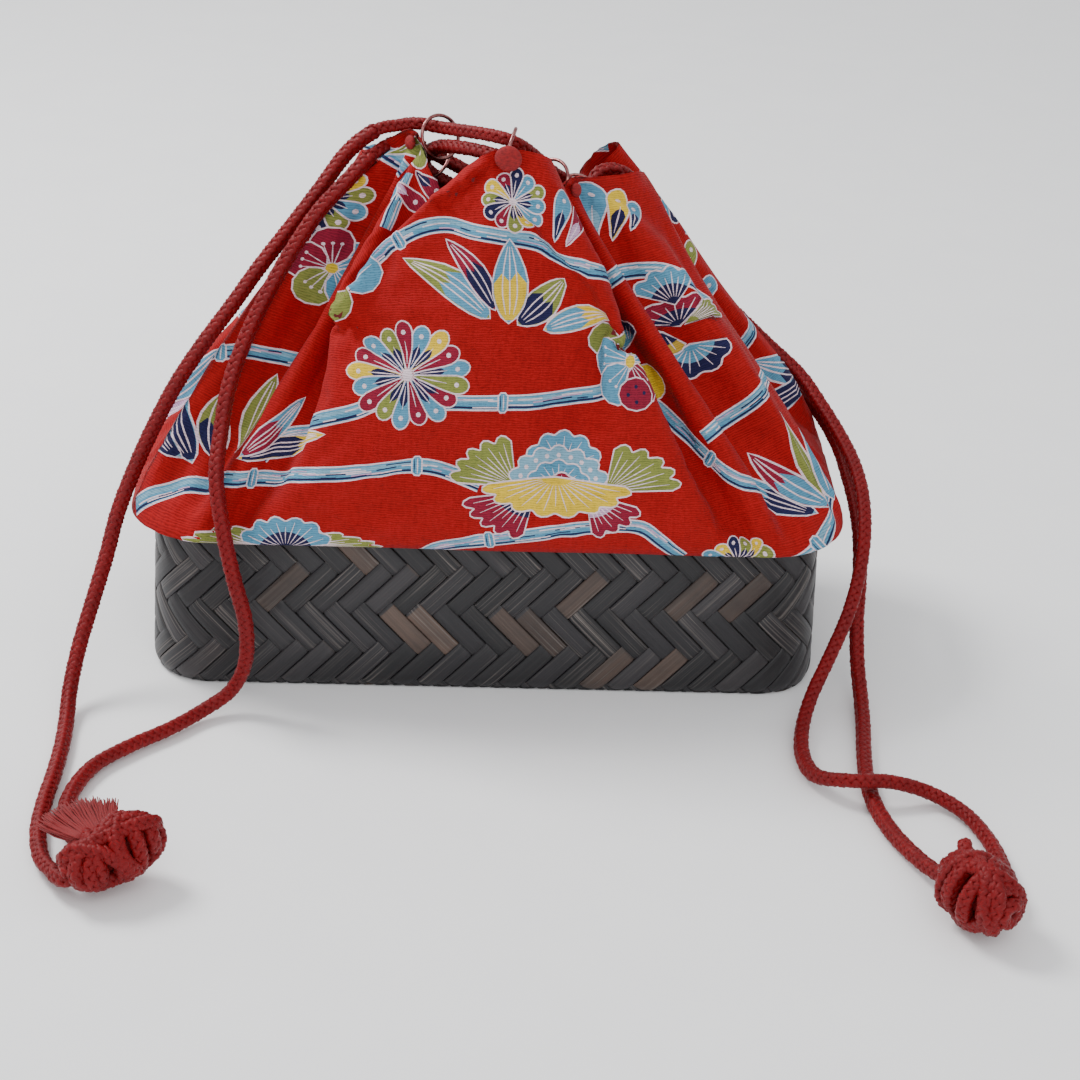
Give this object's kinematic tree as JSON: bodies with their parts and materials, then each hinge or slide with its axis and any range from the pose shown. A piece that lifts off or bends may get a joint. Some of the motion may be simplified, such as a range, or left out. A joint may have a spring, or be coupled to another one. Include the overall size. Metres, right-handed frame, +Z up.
{
  "type": "kinchaku drawstring pouch with bamboo basket base",
  "caption": "Gathered cloth pouch with a traditional flower and bamboo print on a low woven bamboo basket, closed by round braided drawstrings knotted at their ends.",
  "frame": {"origin": "centre of the basket's base, on the surface it stands on", "axes": "+X along the basket's length to the right seen from the front, +Y to the back, +Z up through the mouth; the drawstring ends lie in front, towards -Y"},
  "size_m": [0.301, 0.2473, 0.19],
  "materials": {
    "bamboo": "stained near-black bamboo strips, satin lacquer",
    "hoop": "split bamboo hoop, brown satin",
    "crepe": "matt crepe with fine ribs and a dyed flower and bamboo pattern",
    "lining": "plain red lining cloth, matt",
    "cord": "round braided rayon cord, soft sheen",
    "ring": "small reddish wire rings, polished"
  },
  "bodies": {
    "root": {"bamboo_basket": "bamboo", "basket_rim": "hoop", "cloth_bag": "crepe", "lining_bag": "lining", "mouth_ring_1": "ring", "mouth_ring_2": "ring", "mouth_ring_3": "ring", "mouth_ring_4": "ring", "mouth_ring_5": "ring", "mouth_ring_6": "ring", "mouth_ring_7": "ring", "mouth_ring_8": "ring", "drawstring_left_run": "cord", "drawstring_right_run": "cord", "cord_left_a": "cord", "cord_left_b": "cord", "cord_right_a": "cord", "cord_right_b": "cord", "knot_left": "cord", "knot_right": "cord"}
  },
  "joints": []
}
